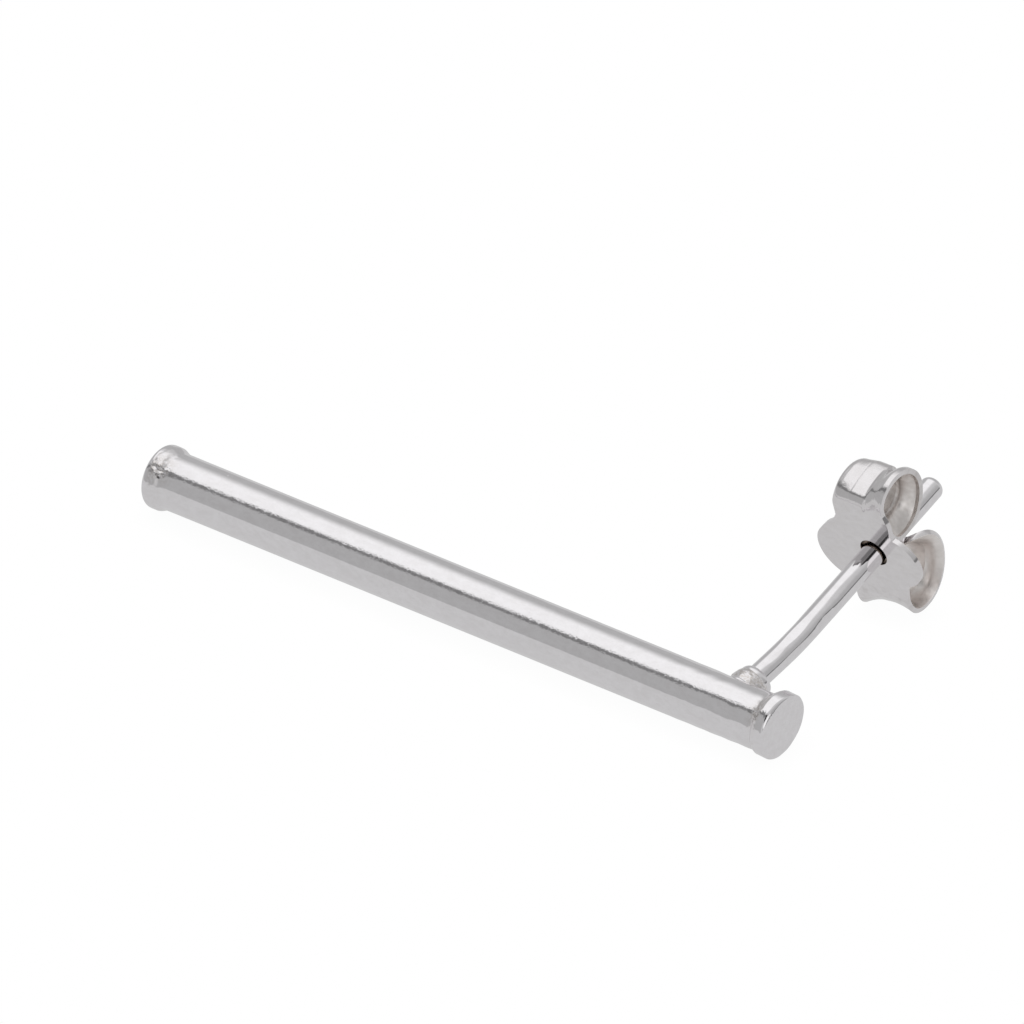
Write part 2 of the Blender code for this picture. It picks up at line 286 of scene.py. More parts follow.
level = blend_values(tree, spot(tree, LENS_DIRECTION, LENS_DEGREES), level, LENS)
path = node(tree, "ShaderNodeLightPath")
level = blend_values(tree, path.outputs["Is Camera Ray"], level, 1.0)
sky = node(tree, "ShaderNodeBackground")
sky.inputs["Color"].default_value = WHITE
feed(tree, sky.inputs["Strength"], level)
out = node(tree, "ShaderNodeOutputWorld")
tree.links.new(sky.outputs[0], out.inputs["Surface"])
print("the room is painted with", len(tree.nodes), "nodes")

# %% [markdown]
# Polished silver
#
# A hand-polished silver bar looks like a mirror from afar. Close up the mirror is full of hair-fine
# scratches that run mostly along it, some faint ripples and a few pits, and near the joints the solder
# leaves the surface lumpy and duller. One bump map could hold it all, but each mark has its own size,
# so the height is added up from a noise for each kind of mark and a scatter of pits. How much solder,
# scuffing and tarnish there is at a place, and the shade painted dark into the clutch's hole, is painted
# on the mesh as attributes, which the finish reads.

# %% Choose the silver's colours and marks
SILVER = (0.895, 0.880, 0.898, 1.0)
CLUTCH_SILVER = (0.852, 0.832, 0.842, 1.0)
SATIN_SILVER = (0.945, 0.910, 0.891, 1.0)
SOLDER_TINT, SOLDER_ROUGHNESS = (0.70, 0.655, 0.62, 1.0), 0.17
MOTTLE = (0.93, 0.925, 0.92, 1.0)
# A dark brown for tarnish inside the curls and for the shade painted into the clutch's hole
TARNISH_AND_SHADE_COLOUR = (0.26, 0.22, 0.185, 1.0)

# Marks: how fine, as the scale of their noise, and how high in thousandths of a millimetre
SCRATCH_SCALE = 8500.0
SCUFF_SCALE, SCUFF_HEIGHT = 8200.0, 10.0
RIPPLE_SCALE = 1400.0
LUMP_SCALE, LUMP_HEIGHT = 11000.0, 16.0

# Dull patches, clouds and dirt: their scale, and the values of the noise between which they set in
DULL_PATCH_SCALE, DULL_PATCH_EDGE = 1100.0, (0.35, 0.7)
CLOUD_SCALE, CLOUD_EDGE = 3800.0, (0.75, 0.25)
DIRT_EDGE = (0.62, 0.40)

# How a noise is stretched: not at all, and drawn out along the bar
EVEN, DRAWN_OUT = (1.0, 1.0, 1.0), (0.35, 1.0, 1.0)

# Pits: how close together, how wide within their cell, and how deep
PIT_SCALE, PIT_EDGE, PIT_DEPTH = 620.0, 0.026, 26.0
print("pits are", PIT_DEPTH, "thousandths of a millimetre deep")


# %% Helpers for a finish
def mapped(tree, stretch):
    """The place on the piece in metres, stretched along each direction."""
    made = node(tree, "ShaderNodeMapping")
    tree.links.new(node(tree, "ShaderNodeTexCoord").outputs["Object"], made.inputs["Vector"])
    made.inputs["Scale"].default_value = stretch
    return made.outputs["Vector"]


def grain(tree, stretch, scale, detail=2.0, roughness=0.5):
    """A noise from 0 to 1 over the piece."""
    made = node(tree, "ShaderNodeTexNoise")
    tree.links.new(mapped(tree, stretch), made.inputs["Vector"])
    made.inputs["Scale"].default_value = scale
    made.inputs["Detail"].default_value = detail
    made.inputs["Roughness"].default_value = roughness
    return made.outputs["Fac"]


def painted(tree, label):
    """What is painted on the mesh under this name."""
    return node(tree, "ShaderNodeAttribute", attribute_name=label).outputs["Fac"]


def blend_colours(tree, share, low, high, way="MIX"):
    """low where share is 0, and where it is 1 high, or low times high for the way MULTIPLY."""
    made = node(tree, "ShaderNodeMix", data_type="RGBA", blend_type=way)
    feed(tree, made.inputs[0], share)
    feed(tree, made.inputs[6], low)
    feed(tree, made.inputs[7], high)
    return made.outputs[2]


# %% Add up the marks in the silver
def marks(tree, lumps, scratch_stretch, scratch_height, ripple_height):
    """The height of all marks, in thousandths of a millimetre."""
    scratches = grain(tree, scratch_stretch, SCRATCH_SCALE, detail=3.0, roughness=0.6)
    scuffs = grain(tree, (1.3, 1.0, 1.0), SCUFF_SCALE, roughness=0.6)
    ripples = grain(tree, DRAWN_OUT, RIPPLE_SCALE)
    scuffs = sum_node(tree, "MULTIPLY", scuffs, painted(tree, "scuffed"))
    lumps = sum_node(tree, "MULTIPLY", lumps, painted(tree, "solder"))
    height = sum_node(tree, "MULTIPLY", scratches, scratch_height)
    height = sum_node(tree, "MULTIPLY_ADD", scuffs, SCUFF_HEIGHT, height)
    height = sum_node(tree, "MULTIPLY_ADD", ripples, ripple_height, height)
    height = sum_node(tree, "MULTIPLY_ADD", lumps, LUMP_HEIGHT, height)
    cells = node(tree, "ShaderNodeTexVoronoi", feature="F1")
    tree.links.new(mapped(tree, EVEN), cells.inputs["Vector"])
    cells.inputs["Scale"].default_value = PIT_SCALE
    pits = step(tree, cells.outputs["Distance"], PIT_EDGE, PIT_EDGE * 0.3)
    return sum_node(tree, "MULTIPLY_ADD", pits, -PIT_DEPTH, height)


def silver(name, colour, scratch_stretch, scratch_height, ripple_height, smoothest, roughest):
    """A silver whose roughness wanders between two values, with its marks, solder dirt, tarnish and
    painted shade.
    """
    paint = bpy.data.materials.new(name)
    paint.use_nodes = True
    tree = paint.node_tree
    shader = tree.nodes["Principled BSDF"]
    shader.inputs["Metallic"].default_value = 1.0
    lumps = grain(tree, EVEN, LUMP_SCALE, detail=3.0, roughness=0.6)
    bump = node(tree, "ShaderNodeBump")
    bump.inputs["Strength"].default_value = 1.0
    bump.inputs["Distance"].default_value = 0.001 * MM
    feed(tree, bump.inputs["Height"], marks(tree, lumps, scratch_stretch, scratch_height, ripple_height))
    tree.links.new(bump.outputs["Normal"], shader.inputs["Normal"])
    patches = step(tree, grain(tree, (0.5, 1.0, 1.0), DULL_PATCH_SCALE, detail=3.0), *DULL_PATCH_EDGE)
    roughness = blend_values(tree, patches, smoothest, roughest)
    roughness = blend_values(tree, painted(tree, "solder"), roughness, SOLDER_ROUGHNESS)
    tree.links.new(roughness, shader.inputs["Roughness"])
    dirt = sum_node(tree, "MULTIPLY", painted(tree, "solder"), step(tree, lumps, *DIRT_EDGE))
    clouds = grain(tree, (0.6, 1.0, 1.0), CLOUD_SCALE, detail=4.0, roughness=0.7)
    tint = blend_colours(tree, dirt, colour, SOLDER_TINT)
    tint = blend_colours(tree, step(tree, clouds, *CLOUD_EDGE), tint, MOTTLE, "MULTIPLY")
    # Darken towards that brown: tarnish inside the curls, and painted shade in the clutch's hole
    tint = blend_colours(tree, painted(tree, "tarnish_and_shade"), tint, TARNISH_AND_SHADE_COLOUR)
    tree.links.new(tint, shader.inputs["Base Color"])
    return paint


# %% Mix the three silvers
polished_silver = silver("polished_silver", SILVER, scratch_stretch=(0.6, 1.0, 1.0), scratch_height=0.9,
                         ripple_height=1.5, smoothest=0.04, roughest=0.08)
clutch_silver = silver("clutch_silver", CLUTCH_SILVER, scratch_stretch=EVEN, scratch_height=1.0,
                       ripple_height=3.0, smoothest=0.07, roughest=0.14)
satin_silver = silver("satin_inside", SATIN_SILVER, scratch_stretch=EVEN, scratch_height=3.0,
                      ripple_height=3.0, smoothest=0.30, roughest=0.42)
print("silvers mixed:", [paint.name for paint in (polished_silver, clutch_silver, satin_silver)])

# %% [markdown]
# A mesh from rings
#
# The bar, the post and the collar are all round, with small uneven places. A turned profile alone
# would be too perfect, and sculpting can't be repeated exactly. So each is a stack of rings, worked
# out as an array of points where every point may be moved a little, then skinned in one go.

# %% Skin a stack of rings
SHARP_DEGREES = 50.0
print("edges sharper than", SHARP_DEGREES, "degrees stay sharp")


def skin_rings(name, rings, paint, solder=None, scuffed=None):
    """A closed mesh through rings of points in millimetres, with a point at each end."""
    count, sides = rings.shape[:2]
    ends = [rings[0].mean(axis=0), rings[-1].mean(axis=0)]
    points = laid_down(np.vstack([rings.reshape(-1, 3), ends]))
    faces = []
    for row in range(count - 1):
        low, high = row * sides, (row + 1) * sides
        for i in range(sides):
            j = (i + 1) % sides
            faces.append((low + i, high + i, high + j, low + j))
    first, last = count * sides, count * sides + 1
    for i in range(sides):
        j = (i + 1) % sides
        faces.append((first, i, j))
        faces.append((last, (count - 1) * sides + j, (count - 1) * sides + i))
    mesh = bpy.data.meshes.new(name)
    mesh.from_pydata(points.tolist(), [], faces)
    work = bmesh.new()
    work.from_mesh(mesh)
    bmesh.ops.recalc_face_normals(work, faces=work.faces)
    work.to_mesh(mesh)
    work.free()
    mesh.shade_smooth()
    mesh.set_sharp_from_angle(angle=math.radians(SHARP_DEGREES))
    for label, amount in (("solder", solder), ("scuffed", scuffed)):
        shares = np.zeros(len(points))
        if amount is not None:
            shares[:count * sides] = amount.reshape(-1)
        mesh.attributes.new(label, "FLOAT", "POINT").data.foreach_set("value", shares)
    mesh.materials.append(paint)
    item = bpy.data.objects.new(name, mesh)
    bpy.context.scene.collection.objects.link(item)
    print(name, "has", len(mesh.polygons), "faces")
    return item


# %% Helpers for uneven surfaces
TINY = 1e-6


def lumps_at(points, size, seed):
    """A smooth random height from -1 to 1 at each point, for lumps of a size in millimetres."""
    flat = points.reshape(-1, 3)
    heights = [noise.noise(Vector((x / size + seed, y / size, z / size))) for x, y, z in flat]
    return np.array(heights).reshape(points.shape[:-1])


def eased(value, start, end):
    """0 before start, 1 after end and a smooth rise between."""
    share = np.clip((np.asarray(value, float) - start) / (end - start), 0.0, 1.0)
    return share * share * (3 - 2 * share)


# %% [markdown]
# The bar and its end discs
#
# A jeweller caps a silver tube by soldering a disc of sheet on each end. The far one was filed and
# polished after, so it melts into the bar. The near one kept a crisp rim, sits a little askew, and
# has solder lumps in the corner behind it. Separate discs would leave a hard line where metal has
# flowed, so the discs and the bar are one stack of rings. Each disc's askew place is blended in
# over the solder between them.

# %% Draw the bar's profile
BAR_RADIUS = 1.085
NEAR_END, FAR_END = 2.11, -25.95

# For each disc: its lean in degrees about the two directions across the bar, how far it sits off the
# bar's axis, and how far its rim is rounded, all round and where a file went over it
FAR_DISC = {"radius": 1.212, "thick": 0.36, "tilt": (-2.6, -1.8), "shift": (0.0, 0.0),
            "edge": 0.15, "filed": 0.17}
NEAR_DISC = {"radius": 1.27, "thick": 0.42, "tilt": (5.0, -1.5), "shift": (0.05, 0.05),
             "edge": 0.04, "filed": 0.25}
FILED_AT, FILED_SPREAD = 118.0, 48.0
FAR_SOLDER, NEAR_SOLDER = 0.42, 0.34
RING_SIDES = 144
FACE_SHARES = (0.04, 0.3, 0.6, 0.8, 0.92)
RIM_RINGS, SIDE_RINGS, SOLDER_RINGS, BAR_RINGS = 9, 8, 26, 190


def disc_rows(disc, solder_length, edge):
    """(depth from the disc's face, radius, share of its lean) from the face's middle to the bar."""
    radius, thick = disc["radius"], disc["thick"]
    rows = [(0.0, (radius - edge) * share, 1.0) for share in FACE_SHARES]
    for angle in np.radians(np.linspace(0, 90, RIM_RINGS)):
        rows.append((edge * (1 - math.cos(angle)), radius - edge * (1 - math.sin(angle)), 1.0))
    for share in np.linspace(0, 1, SIDE_RINGS)[1:]:
        rows.append((edge + (thick - edge) * share, radius, 1.0))
    for share in np.linspace(0, 1, SOLDER_RINGS)[1:]:
        settled = BAR_RADIUS + (radius - BAR_RADIUS) * (0.5 + 0.5 * math.cos(math.pi * share))
        rows.append((thick + solder_length * share, settled, 1 - share))
    return rows


def disc_rings(disc, solder_length, face_at, faces_to):
    """Rings leaning with the disc near its face and square to the bar away from it."""
    angles = np.linspace(0, 2 * math.pi, RING_SIDES, endpoint=False)
    filed = np.exp(-((np.degrees(angles) - FILED_AT) / FILED_SPREAD) ** 2)
    tilt_y, tilt_z = (math.radians(angle) for angle in disc["tilt"])
    turn = np.array(Matrix.Rotation(tilt_z, 3, "Z") @ Matrix.Rotation(tilt_y, 3, "Y"))
    rings = []
    edge_rows, filed_rows = (disc_rows(disc, solder_length, disc[edge]) for edge in ("edge", "filed"))
    for (depth, radius, share), (filed_depth, filed_radius, share) in zip(edge_rows, filed_rows):
        depth = depth + (filed_depth - depth) * filed
        radius = radius + (filed_radius - radius) * filed
        ring = np.zeros((RING_SIDES, 3))
        ring[:, 0] = -faces_to * depth
        ring[:, 1] = radius * np.cos(angles)
        ring[:, 2] = radius * np.sin(angles)
        leaning = ring @ turn.T + np.array((0.0, *disc["shift"]))
        ring = ring * (1 - share) + leaning * share
        ring[:, 0] += face_at
        rings.append(ring)
    return rings


far_rings = disc_rings(FAR_DISC, FAR_SOLDER, FAR_END, -1)
near_rings = disc_rings(NEAR_DISC, NEAR_SOLDER, NEAR_END, 1)
middle = []
for at in np.linspace(far_rings[-1][:, 0].mean(), near_rings[-1][:, 0].mean(), BAR_RINGS)[1:-1]:
    ring = far_rings[-1].copy()
    ring[:, 0] = at
    middle.append(ring)
bar_rings = np.array(far_rings + middle + near_rings[::-1])
print("the bar has", len(bar_rings), "rings of", RING_SIDES, "points")

# %% Add ripples and solder lumps
# Heights of the unevenness in millimetres, and the sizes of single ripples, waves and lumps
RIPPLE, RIPPLE_SIZE = 0.0018, 0.9
HEAT_WAVE, HEAT_WAVE_SIZE = 0.013, 0.42
FAR_LUMP, NEAR_LUMP = 0.038, 0.052
LUMP_SIZE, BIG_LUMP_SIZE, BIG_LUMP_SHARE = 0.15, 0.36, 0.8

# Where along the bar they begin and end, and where round it the solder and the scuffs lie. How far
# out from the bar's middle line a disc's flat face ends
HEATED = (-4.5, -1.0)
NEAR_SOLDER_FROM, NEAR_SOLDER_TO = (NEAR_END - 1.0, NEAR_END - 0.62), (1.66, 1.84)
FAR_SOLDER_FROM, FAR_SOLDER_TO = (FAR_END + 0.1, FAR_END + 0.2), (FAR_END + 0.55, FAR_END + 1.25)
FACE_ENDS = (0.9, 1.05)
SOLDER_AT, SOLDER_SPREAD, SOLDER_LEAST = 112.0, 24.0, 0.12
SCUFF_AT, SCUFF_SPREAD = 112.0, 11.0
FAR_SOLDER_SHOWS = 0.7


def band_round(at, spread):
    """1 at an angle round the bar in degrees, falling to 0 away from it."""
    ring_turn = np.degrees(np.linspace(0, 2 * math.pi, RING_SIDES, endpoint=False))
    return np.exp(-((ring_turn - at) / spread) ** 2)[None, :]


outward = bar_rings - bar_rings.mean(axis=1, keepdims=True)
reach = np.linalg.norm(outward[..., 1:], axis=-1, keepdims=True)
outward = outward / np.maximum(reach, TINY)
bar_x = bar_rings[..., 0]
touched = SOLDER_LEAST + (1 - SOLDER_LEAST) * band_round(SOLDER_AT, SOLDER_SPREAD)
near_solder = eased(bar_x, *NEAR_SOLDER_FROM) * (1 - eased(bar_x, *NEAR_SOLDER_TO)) * touched
far_solder = eased(bar_x, *FAR_SOLDER_FROM) * (1 - eased(bar_x, *FAR_SOLDER_TO)) * touched
ripple = lumps_at(bar_rings * np.array(DRAWN_OUT), RIPPLE_SIZE, 3.0) * RIPPLE
wave = lumps_at(bar_rings, HEAT_WAVE_SIZE, 7.0) * HEAT_WAVE * eased(bar_x, *HEATED)
lump = lumps_at(bar_rings, LUMP_SIZE, 11.0) + BIG_LUMP_SHARE * lumps_at(bar_rings, BIG_LUMP_SIZE, 13.0)
lump = lump * (NEAR_LUMP * near_solder + FAR_LUMP * far_solder)
side_only = eased(reach[..., 0], *FACE_ENDS)
bar_rings = bar_rings + outward * ((ripple + wave + lump) * side_only)[..., None]
bar_solder = np.clip(near_solder + FAR_SOLDER_SHOWS * far_solder, 0, 1) * side_only
bar_scuffs = band_round(SCUFF_AT, SCUFF_SPREAD) * side_only
bar_item = skin_rings("bar_with_end_discs", bar_rings, polished_silver, bar_solder, bar_scuffs)

# %% [markdown]
# The post
#
# The post is a straight length of ear wire, bent a little near its foot by use, with its tip rounded
# so that it doesn't scratch. A curve with a round bevel would be quick, but the dents from pliers
# would be missing, so it is a stack of rings along the same bent line.

# %% Sweep the post
POST_RADIUS = 0.45
POST_ROOT, POST_TIP, POST_TIP_ROUND = 0.5, 12.45, 0.30

# Where it bends, over how long a way, and how far its foot leans, as a slope
POST_BEND_AT, POST_BEND_SPREAD, POST_LEAN = 3.6, 0.7, 0.119
POST_SIDES = 64
POST_RINGS, TIP_RINGS, TIP_LAST = 170, 12, 88
POST_STEP = 0.01


def post_x(y):
    """How far the bent post lies to one side of its straight part, at a distance along it."""
    short = POST_BEND_AT - y
    return -POST_LEAN * 0.5 * (short + np.sqrt(short ** 2 + POST_BEND_SPREAD ** 2))


stations = [(y, POST_RADIUS) for y in np.linspace(POST_ROOT, POST_TIP - POST_TIP_ROUND, POST_RINGS)]
for angle in np.radians(np.linspace(0, TIP_LAST, TIP_RINGS)[1:]):
    stations.append((POST_TIP - POST_TIP_ROUND * (1 - math.sin(angle)),
                     POST_RADIUS - POST_TIP_ROUND * (1 - math.cos(angle))))
angles = np.linspace(0, 2 * math.pi, POST_SIDES, endpoint=False)
post_rings = []
for y, radius in stations:
    slope = (post_x(y + POST_STEP) - post_x(y - POST_STEP)) / (2 * POST_STEP)
    across = np.array((1.0, -slope, 0.0)) / math.hypot(1.0, slope)
    ring = np.array((post_x(y), y, 0.0)) + radius * (np.cos(angles)[:, None] * across
                                                     + np.sin(angles)[:, None] * np.array((0, 0, 1.0)))
    post_rings.append(ring)
post_rings = np.array(post_rings)
print("the post has", len(post_rings), "rings of", POST_SIDES, "points")

# %% Press the pliers' flats into the post
# Place along the post, half length, angle round it and depth
PLIER_FLATS = ((2.55, 0.45, 70.0, 0.020), (3.85, 0.75, 84.0, 0.034), (5.05, 0.55, 22.0, 0.020),
               (4.3, 0.5, 150.0, 0.012), (3.2, 0.6, 10.0, 0.014), (6.3, 0.7, 60.0, 0.008))
LEAST_PRESS, LEAST_COSINE = 0.0005, 0.2
WIRE_RIPPLE, WIRE_RIPPLE_SIZE = 0.0022, 0.35

centres = post_rings.mean(axis=1, keepdims=True)
spokes = post_rings - centres
wire_radius = np.linalg.norm(spokes, axis=-1)
spokes = spokes / np.maximum(wire_radius[..., None], TINY)
for at, half_length, facing, depth in PLIER_FLATS:
    pressed = depth * np.exp(-((post_rings[..., 1] - at) / half_length) ** 2)
    away = np.radians((np.degrees(angles) - facing + 180) % 360 - 180)
    flat = (POST_RADIUS - pressed) / np.maximum(np.cos(away), LEAST_COSINE)[None, :]
    wire_radius = np.where(pressed > LEAST_PRESS, np.minimum(wire_radius, flat), wire_radius)
ripple = lumps_at(post_rings * np.array((1.0, 0.35, 1.0)), WIRE_RIPPLE_SIZE, 21.0)
wire_radius = wire_radius + WIRE_RIPPLE * ripple
post_rings = centres + spokes * wire_radius[..., None]
post_item = skin_rings("ear_post", post_rings, polished_silver)

# %% [markdown]
# The solder collar
#
# Where the post stands on the bar, a small cup of wire or solder wraps its foot. Its lip is smooth
# and bright, its side is rough. It is turned like the rest, from a lip and a bulging side, and the
# roughness comes from small lumps in the mesh, not from the finish alone.

# %% Turn the collar
# Where it ends and begins along the post, and how far it sits to one side
COLLAR_TOP, COLLAR_FOOT, COLLAR_SHIFT = 1.78, 0.75, 0.07

# From the lip's inside over the rim and down the side, as (radius, depth below the collar's top)
COLLAR_OUTLINE = ((0.42, 0.09), (0.45, 0.06), (0.49, 0.055), (0.535, 0.07), (0.58, 0.10), (0.62, 0.145),
                  (0.65, 0.20), (0.668, 0.26), (0.672, 0.31), (0.668, 0.345), (0.685, 0.39),
                  (0.715, 0.48), (0.74, 0.59), (0.755, 0.70), (0.745, 0.82), (0.735, 0.89),
                  (0.76, 0.94), (0.765, 1.03))
COLLAR_SIDES = 96
COLLAR_ROWS = 60
COLLAR_ROUGHNESS = 0.014
COLLAR_ROUGH_FROM, COLLAR_ROUGH_TO = (0.30, 0.40), (0.84, 0.92)
COLLAR_LUMP_SIZE, COLLAR_BIG_LUMP_SIZE, COLLAR_SOLDER = 0.10, 0.25, 0.8

outline = np.array(COLLAR_OUTLINE)
steps = np.linspace(0, len(outline) - 1, COLLAR_ROWS)
radii = np.interp(steps, range(len(outline)), outline[:, 0])
depths = np.interp(steps, range(len(outline)), outline[:, 1])
angles = np.linspace(0, 2 * math.pi, COLLAR_SIDES, endpoint=False)
collar_turn = np.array(Matrix.Rotation(-math.atan(POST_LEAN), 3, "Z"))
collar_rings = []
for radius, depth in zip(radii, depths):
    ring = np.zeros((COLLAR_SIDES, 3))
    ring[:, 0] = radius * np.cos(angles)
    ring[:, 1] = COLLAR_TOP - COLLAR_FOOT - depth
    ring[:, 2] = radius * np.sin(angles)
    collar_rings.append(ring)
collar_rings = np.array(collar_rings)
outward = collar_rings * np.array((1.0, 0.0, 1.0))
outward = outward / np.linalg.norm(outward, axis=-1, keepdims=True)
rough = (eased(depths, *COLLAR_ROUGH_FROM) * (1 - eased(depths, *COLLAR_ROUGH_TO)))[:, None]
bumps = lumps_at(collar_rings, COLLAR_LUMP_SIZE, 31.0)
bumps = bumps + BIG_LUMP_SHARE * lumps_at(collar_rings, COLLAR_BIG_LUMP_SIZE, 35.0)
collar_rings = collar_rings + outward * (bumps * COLLAR_ROUGHNESS * rough)[..., None]
collar_rings = collar_rings @ collar_turn.T
collar_rings = collar_rings + np.array((post_x(COLLAR_FOOT) + COLLAR_SHIFT, COLLAR_FOOT, 0.0))
collar_solder = np.repeat(COLLAR_SOLDER * rough, COLLAR_SIDES, axis=1)
collar_item = skin_rings("solder_collar", collar_rings, polished_silver, collar_solder)

# %% [markdown]
# The butterfly clutch
#
# A clutch is stamped from one piece of thin sheet: a plate with a hole for the post, and two strips
# that curl back and press on the post from behind. We could bend a flat cut-out with modifiers, but
# the curls flare and twist, and a table of sections is easier to fit. Each strip is a grid that
# follows such a table round its curl. The plate is a grid too, from the hole out to its edge, so that
# its outer ring meets the strips point for point. A solidify modifier then gives the sheet its
# thickness, and a bevel rounds the cut edges.

# %% Measure how far the upper curl stands out
STRIP_COLUMNS = 61

# The curl's centre as (along the post, up) and how far up the neck starts, then places across the strip
UPPER_CENTRE, UPPER_NECK = (9.65, 1.85), 1.40
UPPER_LEFT, UPPER_RIGHT, NECK_RIGHT = -1.42, 0.78, 1.02
SHOULDER_FROM, SHOULDER_AT, BULGE_AT = -1.24, -1.14, -0.50
RIDGE = (-0.07, 0.08)
RIM_WIDTH = 0.16

# Turn round the curl's centre in degrees, then how far out the sheet is there at its left edge, just in
# from it, on the bulge, just right of the ridge, and at its flared right edge
UPPER_OUT = (
    (0.0, 1.050, 1.050, 1.050, 1.048, 1.048),
    (15.0, 1.060, 1.078, 1.090, 1.066, 1.072),
    (30.0, 1.010, 1.120, 1.165, 1.094, 1.125),
    (42.0, 0.970, 1.065, 1.140, 1.103, 1.190),
    (58.0, 0.937, 0.995, 1.030, 1.112, 1.260),
    (77.0, 0.910, 0.955, 0.975, 1.125, 1.320),
    (95.0, 0.915, 0.970, 0.995, 1.140, 1.370),
    (116.0, 0.960, 1.050, 1.105, 1.155, 1.415),
    (133.0, 1.010, 1.135, 1.235, 1.160, 1.435),
    (150.0, 1.040, 1.150, 1.250, 1.150, 1.435),
    (180.0, 1.070, 1.130, 1.190, 1.120, 1.430),
    (214.0, 1.070, 1.100, 1.130, 1.090, 1.440),
    (242.0, 1.040, 1.060, 1.080, 1.050, 1.520),
    (267.0, 1.000, 1.020, 1.040, 1.010, 1.540),
    (289.0, 0.950, 0.980, 1.000, 0.960, 1.500),
    (303.0, 0.930, 0.960, 0.970, 0.940, 1.330),
    (316.0, 0.915, 0.935, 0.945, 0.925, 1.160),
    (328.0, 0.900, 0.910, 0.910, 0.905, 0.980),
    (340.0, 0.890, 0.890, 0.890, 0.890, 0.900),
)

# Faint lines left by the die, as a height at a place across the strip
UPPER_RELIEF = ((-1.42, 0.0), (-1.33, 0.006), (-1.29, -0.002), (-1.24, 0.004), (-0.90, 0.004),
                (-0.76, 0.003), (-0.71, -0.005), (-0.66, 0.004), (-0.50, 0.004), (-0.25, 0.006),
                (-0.10, 0.012), (-0.02, 0.012), (0.05, -0.012), (0.12, -0.006), (0.40, 0.0), (1.1, 0.0))
print("the upper curl's table has", len(UPPER_OUT), "rows")


# %% Helpers for a strip
END_LAST, END_ROWS = 84.0, 12


def table_at(table, place):
    """A table's values at any place: a smooth curve through its rows, by their first column."""
    rows = np.array(table)
    places, values = rows[:, 0], rows[:, 1:]
    slopes = np.gradient(values, places, axis=0)
    i = int(np.clip(np.searchsorted(places, place) - 1, 0, len(places) - 2))
    gap = places[i + 1] - places[i]
    u = (place - places[i]) / gap
    low = (1 + 2 * u) * (1 - u) ** 2 * values[i] + u * (1 - u) ** 2 * gap * slopes[i]
    high = u * u * (3 - 2 * u) * values[i + 1] + u * u * (u - 1) * gap * slopes[i + 1]
    return low + high


def turns_to(end, corner, turn_step):
    """Even turns in degrees, then closer ones over the rounded corner at a strip's free end."""
    close = [end - corner * (1 - math.sin(a)) for a in np.radians(np.linspace(0.0, END_LAST, END_ROWS))]
    return list(np.arange(0.0, end - corner, turn_step)) + close


# %% Curl the upper strip
UPPER_END, UPPER_CORNER, UPPER_STEP = 339.0, 8.0, 2.5
UPPER_NECK_ROWS = 7

# Turns over which the strip narrows, and over which the die's lines set in
NARROWING, RELIEF_STARTS = (-6.0, 34.0), (12.0, 30.0)


def upper_strip():
    """Rows of points on the strip's outer surface, from its neck on the plate to its free end."""
    across = np.linspace(0.0, 1.0, STRIP_COLUMNS)
    relief = np.array(UPPER_RELIEF)
    centre_y, centre_z = UPPER_CENTRE
    rows = []
    for turn in turns_to(UPPER_END, UPPER_CORNER, UPPER_STEP):
        left, shoulder, bulge, beside, right = table_at(UPPER_OUT, turn)
        right_x = UPPER_RIGHT + (NECK_RIGHT - UPPER_RIGHT) * (1 - float(eased(turn, *NARROWING)))
        into_end = max(0.0, 1 - (UPPER_END - turn) / UPPER_CORNER)
        half = (right_x - UPPER_LEFT) / 2 * (1 - into_end ** 3) ** (1 / 3)
        x = (right_x + UPPER_LEFT) / 2 + (across * 2 - 1) * half
        from_edge = 1 - (1 - np.clip((x - UPPER_LEFT) / (SHOULDER_AT - UPPER_LEFT), 0, 1)) ** 2
        out = left + (shoulder - left) * from_edge
        out = out + (bulge - shoulder) * eased(x, SHOULDER_FROM, BULGE_AT)
        past_ridge = beside + (right - beside) * eased(x, RIDGE[1], right_x - RIM_WIDTH)
        out = out + (past_ridge - out) * eased(x, *RIDGE)
        out = out + np.interp(x, relief[:, 0], relief[:, 1]) * float(eased(turn, *RELIEF_STARTS))
        bend = math.radians(turn)
        y = centre_y - out * math.cos(bend)
        rows.append(np.column_stack([x, y, centre_z + out * math.sin(bend)]))
    neck = []
    for share in np.linspace(0.0, 1.0, UPPER_NECK_ROWS, endpoint=False):
        row = rows[0].copy()
        width = NECK_RIGHT - UPPER_LEFT + (rows[0][-1, 0] - NECK_RIGHT) * share
        row[:, 0] = UPPER_LEFT + across * width
        row[:, 1] = PLATE_AT + (row[:, 1] - PLATE_AT) * share
        row[:, 2] = UPPER_NECK + (centre_z - UPPER_NECK) * share
        neck.append(row)
    return np.array(neck + rows)


upper_grid = upper_strip()
print("upper strip", upper_grid.shape)

# %% Curl the lower strip from a table of sections
LOWER_CENTRE = (PLATE_AT + 1.10, -2.10)
LOWER_NECK, LOWER_NECK_ROWS = -1.94, 4
LOWER_CORNER, LOWER_STEP = 32.0, 3.0
LOWER_RELIEF_STARTS = (60.0, 120.0)

# A flare is given for a half width of 1.1, starts a little out from the strip's middle, and steepens
FLARE_HALF, FLARE_FROM, FLARE_POWER = 1.1, 0.15, 1.8

# Turn in degrees, radius, half width, middle, left flare, right flare, rise to the right
LOWER_SECTIONS = (
    (0.0, 1.10, 1.17, -0.12, 0.00, 0.00, 0.12),
    (45.0, 1.10, 1.20, -0.10, 0.24, 0.20, 0.20),
    (90.0, 1.10, 1.18, -0.14, 0.26, 0.22, 0.20),
    (180.0, 1.12, 1.12, -0.20, 0.22, 0.34, 0.16),
    (225.0, 1.30, 1.06, -0.20, 0.18, 0.55, 0.10),
    (272.0, 1.47, 1.00, -0.16, 0.20, 0.85, 0.04),
)
LOWER_RELIEF = ((-1.4, 0.0), (-0.2, 0.0), (0.05, 0.05), (0.30, 0.07), (0.50, 0.0), (0.66, -0.03),
                (1.1, 0.0))


